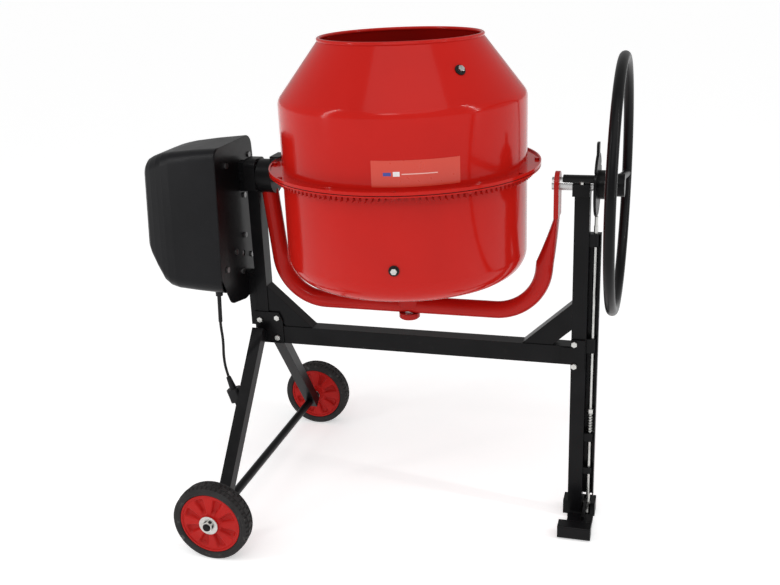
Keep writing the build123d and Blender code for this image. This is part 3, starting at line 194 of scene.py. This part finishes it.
NODE_MATERIAL = {
    "upper_drum": paint_red, "lower_drum": paint_red,
    "ring_gear": paint_red_plain, "drum_hub": paint_red_plain,
    "drum_bolts": paint_red_plain, "spindle_nut": paint_red_plain, "yoke_tube": paint_red_plain,
    "front_blade": paint_red_inside, "rear_blade": paint_red_inside,
    "flange_gasket": rubber, "blade_washers": rubber, "drive_belt": rubber, "power_cord": rubber,
    "motor_cover": plastic_black, "switch_box": plastic_dark, "capacitor": plastic_dark,
    "cord_gland": plastic_dark, "power_plug": plastic_dark,
    "front_tyre": rubber_tyre, "rear_tyre": rubber_tyre,
    "front_wheel_disc": plastic_red, "rear_wheel_disc": plastic_red,
    "stop_button": button_red, "start_button": plastic_green,
    "left_bearing_bush": bronze, "pinion_bushes": bronze, "motor_case": cast,
    "drum_label": label_material(),
}
screw_dark = material("screw_dark", (0.2, 0.2, 0.2), 0.35, metal=1.0, mottle=0.2, mottle_scale=80)
NODE_MATERIAL["housing_screws"] = screw_dark
for name in ("frame_bolts", "axle_nuts", "pedal_pin", "blade_bolts", "lock_rod", "lock_spring"):
    NODE_MATERIAL[name] = zinc
for name in ("drum_spindle", "right_trunnion_shaft", "drum_bearings", "pinion_shaft", "motor_rotor",
             "small_pulley", "pinion"):
    NODE_MATERIAL[name] = steel


def smooth(obj, angle=math.radians(32)):
    for face in obj.data.polygons:
        face.use_smooth = True
    obj.data.set_sharp_from_angle(angle=angle)


for name, obj in nodes.items():
    obj.data.materials.clear()
    obj.data.materials.append(NODE_MATERIAL.get(name, paint_black))
    smooth(obj)

# ------------------------------------------------------------------ cord

CORD_X = -0.4536 + SHIFT
CORD_Y = -0.130
CORD_DIAMETER = 0.007
cord_points = [
    (CORD_X, CORD_Y, 0.608), (CORD_X - 0.0024, CORD_Y, 0.560), (CORD_X - 0.0052, CORD_Y - 0.001, 0.512),
    (CORD_X - 0.0004, CORD_Y - 0.003, 0.466), (CORD_X - 0.0049, CORD_Y - 0.002, 0.420),
    (CORD_X - 0.0014, CORD_Y, 0.375), (CORD_X + 0.0121, CORD_Y + 0.001, 0.332),
]
curve = bpy.data.curves.new("mains_cord", "CURVE")
curve.dimensions = "3D"
curve.bevel_depth = CORD_DIAMETER / 2
curve.bevel_resolution = 6
curve.resolution_u = 16
line = curve.splines.new("NURBS")
line.points.add(len(cord_points) - 1)
for point, place in zip(line.points, cord_points):
    point.co = (*place, 1)
line.order_u = 3
line.use_endpoint_u = True
cord = bpy.data.objects.new("mains_cord", curve)
bpy.context.collection.objects.link(cord)
curve.materials.append(rubber)
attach(cord, "stand")
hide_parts("power_cord")

# ------------------------------------------------------------------ pieces made here

def grid_mesh(name, rows, loop_rows=True):
    """Mesh over a table of points. Each row is a closed ring, and the last row can join the first."""
    height = len(rows)
    width = len(rows[0])
    points = [p for row in rows for p in row]
    faces = []
    for i in range(height if loop_rows else height - 1):
        for j in range(width):
            a = i * width + j
            b = i * width + (j + 1) % width
            c = ((i + 1) % height) * width + (j + 1) % width
            d = ((i + 1) % height) * width + j
            faces.append((a, b, c, d))
    mesh = bpy.data.meshes.new(name)
    mesh.from_pydata(points, [], faces)
    mesh.update()
    return mesh


def cap_ends(mesh, width, height):
    """Close the first and the last ring of a grid."""
    shape = bmesh.new()
    shape.from_mesh(mesh)
    shape.verts.ensure_lookup_table()
    shape.faces.new([shape.verts[j] for j in range(width)])
    shape.faces.new([shape.verts[(height - 1) * width + j] for j in reversed(range(width))])
    bmesh.ops.recalc_face_normals(shape, faces=shape.faces)
    shape.to_mesh(mesh)
    shape.free()


def piece(name, mesh, mat, body, stands_for=(), angle=32):
    """Object that rides on a body with one material, and may stand for CAD nodes, which it hides."""
    obj = bpy.data.objects.new(name, mesh)
    bpy.context.collection.objects.link(obj)
    shape = bmesh.new()
    shape.from_mesh(mesh)
    bmesh.ops.recalc_face_normals(shape, faces=shape.faces)
    shape.to_mesh(mesh)
    shape.free()
    mesh.materials.append(mat)
    smooth(obj, math.radians(angle))
    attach(obj, body)
    if stands_for:
        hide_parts(*stands_for)
    return obj


WHEEL_X = -0.407 + SHIFT
WHEEL_Z = 0.097
WHEEL_MIDDLE_Y = 0.3725
SPOKES = 8


def tyre(name, side, body, node):
    """Solid rubber tyre: three tread ribs cut across by offset grooves, and ringed side walls."""
    middle = side * WHEEL_MIDDLE_Y
    columns = 288
    tread = []
    half_widths = (0.0056, 0.0064, 0.0074, 0.0082, 0.0165, 0.0175)
    for y in [-y for y in reversed(half_widths)] + list(half_widths):
        groove = 0.0060 < abs(y) < 0.0078
        rib = 0 if abs(y) < 0.006 else 1
        tread.append((0.0942 if groove else 0.0968 - 12 * y * y * rib, y, 2 if groove else rib))
    wall = [(0.0950, 0.0200), (0.0922, 0.0216), (0.0885, 0.0222), (0.0875, 0.0217), (0.0855, 0.0217),
            (0.0845, 0.0223), (0.0815, 0.0223), (0.0795, 0.0214), (0.0780, 0.0195)]
    profile = [(r, -y, 3) for r, y in reversed(wall)] + tread + [(r, y, 3) for r, y in wall]
    profile += [(0.0768, 0.012, 3), (0.0768, -0.012, 3)]
    rows = []
    for k in range(columns):
        turn = 2 * math.pi * k / columns
        row = []
        for r, y, rib in profile:
            if rib == 0 and k % 9 in (4, 5):
                r -= 0.0022
            if rib == 1 and k % 6 in (0, 1):
                r -= 0.0026
            row.append((WHEEL_X + r * math.cos(turn), middle + y, WHEEL_Z + r * math.sin(turn)))
        rows.append(row)
    return piece(name, grid_mesh(name, rows), rubber_tyre, body, (node,), 28)


def wheel_disc(name, side, body, node):
    """Moulded plastic disc: hub, eight raised spokes with scooped pockets between, and a rim lip."""
    middle = side * WHEEL_MIDDLE_Y
    columns = 192
    radii = [0.0082, 0.0150, 0.0190, 0.0235, 0.0242, 0.0262, 0.0290, 0.0330, 0.0370, 0.0410, 0.0450,
             0.0490, 0.0530, 0.0570, 0.0605, 0.0635, 0.0655, 0.0675, 0.0700, 0.0715, 0.0725, 0.0740,
             0.0760, 0.0766]

    def face(r, turn):
        if r < 0.0240:
            return 0.0243
        if r > 0.0722:
            return 0.0188
        spoke = 0.5 + 0.5 * math.cos(SPOKES * turn)
        spoke = min(1, max(0, (spoke - 0.18) / 0.4))
        spoke = spoke * spoke * (3 - 2 * spoke)
        reach = min(1, max(0, (r - 0.0250) / 0.008)) * min(1, max(0, (0.0690 - r) / 0.007))
        reach = reach * reach * (3 - 2 * reach)
        dish = 0.0165 + 0.003 * (0.0480 - min(r, 0.0480)) / 0.024
        return dish - 0.0085 * reach * (1 - spoke)

    rows = []
    for k in range(columns):
        turn = 2 * math.pi * k / columns
        row = []
        for direction, steps in ((1, radii), (-1, list(reversed(radii)))):
            for r in steps:
                y = middle + direction * face(r, turn)
                row.append((WHEEL_X + r * math.cos(turn), y, WHEEL_Z + r * math.sin(turn)))
        rows.append(row)
    return piece(name, grid_mesh(name, rows), plastic_red, body, (node,), 40)


for side, place in ((-1, "front"), (1, "rear")):
    tyre(place + "_tread_tyre", side, place + "_wheel", place + "_tyre")
    wheel_disc(place + "_moulded_disc", side, place + "_wheel", place + "_wheel_disc")


def round_loft(name, start, end, sections, mat, body):
    """Closed round form along a line: each section is (distance from start, radius)."""
    start = Vector(start)
    way = (Vector(end) - start).normalized()
    side = Vector((1, 0, 0)) - way * way.x
    side.normalize()
    depth = way.cross(side)
    columns = 40
    rows = []
    for distance, radius in sections:
        row = []
        for k in range(columns):
            turn = 2 * math.pi * k / columns
            u = radius * math.cos(turn)
            v = radius * math.sin(turn)
            row.append(tuple(start + way * distance + side * u + depth * v))
        rows.append(row)
    mesh = grid_mesh(name, rows, loop_rows=False)
    cap_ends(mesh, columns, len(rows))
    return piece(name, mesh, mat, body)


# dark domed caps over the axle nuts
CAP_SEAT_Y = 0.3990
AXLE_END_Y = 0.4120
dome = [(0.0, 0.0128), (0.004, 0.0128), (0.0075, 0.0118), (0.0102, 0.0094),
        (0.0120, 0.0058), (0.0126, 0.0020)]
for side in (-1, 1):
    round_loft("axle_cap_front" if side < 0 else "axle_cap_rear", (WHEEL_X, side * CAP_SEAT_Y, WHEEL_Z),
               (WHEEL_X, side * AXLE_END_Y, WHEEL_Z), dome, plastic_dark, "stand")

# ------------------------------------------------------------------ camera, floor and light

yaw = math.radians(16.8493)
pitch = math.radians(19.3435)
roll = math.radians(-2.3314)
forward = Vector((-math.sin(yaw) * math.cos(pitch), math.cos(yaw) * math.cos(pitch), -math.sin(pitch)))
flat_right = Vector((math.cos(yaw), math.sin(yaw), 0))
flat_up = flat_right.cross(forward)
right = math.cos(roll) * flat_right + math.sin(roll) * flat_up
up = -math.sin(roll) * flat_right + math.cos(roll) * flat_up
view = Matrix.Identity(4)
for row in range(3):
    view[row][0] = right[row]
    view[row][1] = up[row]
    view[row][2] = -forward[row]
view.translation = Vector((0.6361 + SHIFT, -2.2627, 1.4027))
camera_data = bpy.data.cameras.new("camera")
camera_data.lens = 46.204
camera_data.sensor_width = 36
camera = bpy.data.objects.new("camera", camera_data)
camera.matrix_world = view
bpy.context.collection.objects.link(camera)
bpy.context.scene.camera = camera


def plain_floor():
    mesh = bpy.data.meshes.new("floor")
    shape = bmesh.new()
    bmesh.ops.create_grid(shape, x_segments=2, y_segments=2, size=60)
    shape.to_mesh(mesh)
    floor = bpy.data.objects.new("floor", mesh)
    bpy.context.collection.objects.link(floor)
    mat = bpy.data.materials.new("floor_plain")
    mat.use_nodes = True
    shader = mat.node_tree.nodes["Principled BSDF"]
    shader.inputs["Base Color"].default_value = (0.86, 0.86, 0.86, 1)
    shader.inputs["Roughness"].default_value = 0.9
    shader.inputs["Specular IOR Level"].default_value = 0.1
    shader.inputs["Emission Color"].default_value = (1, 1, 1, 1)
    shader.inputs["Emission Strength"].default_value = 0.42
    mesh.materials.append(mat)


def area_light(name, place, target, size, power, size_y):
    data = bpy.data.lights.new(name, "AREA")
    data.energy = power
    data.shape = "RECTANGLE"
    data.size = size
    data.size_y = size_y
    lamp = bpy.data.objects.new(name, data)
    lamp.location = place
    aim = Vector(target) - Vector(place)
    lamp.rotation_euler = aim.to_track_quat("-Z", "Y").to_euler()
    bpy.context.collection.objects.link(lamp)


plain_floor()
world = bpy.data.worlds.new("studio")
world.use_nodes = True
world.node_tree.nodes["Background"].inputs["Color"].default_value = (1, 1, 1, 1)
world.node_tree.nodes["Background"].inputs["Strength"].default_value = 0.45
bpy.context.scene.world = world
bpy.context.scene.view_settings.view_transform = "Standard"
sun_data = bpy.data.lights.new("soft_sun", "SUN")
sun_data.energy = 0.8
sun_data.angle = math.radians(60)
sun = bpy.data.objects.new("soft_sun", sun_data)
sun.rotation_euler = (Vector((0, 0, 0)) - Vector((0.25, -0.7, 1.2))).to_track_quat("-Z", "Y").to_euler()
bpy.context.collection.objects.link(sun)
area_light("left_strip", (-1.95, -1.45, 1.9), (0.07, 0, 0.95), 0.05, 18, size_y=2.6)
area_light("right_strip", (2.5, -0.35, 1.9), (0.07, 0, 0.95), 0.05, 16, size_y=2.6)
area_light("front_strip", (0.2, -3.2, 2.9), (0.07, 0, 0.9), 0.9, 9, size_y=0.2)
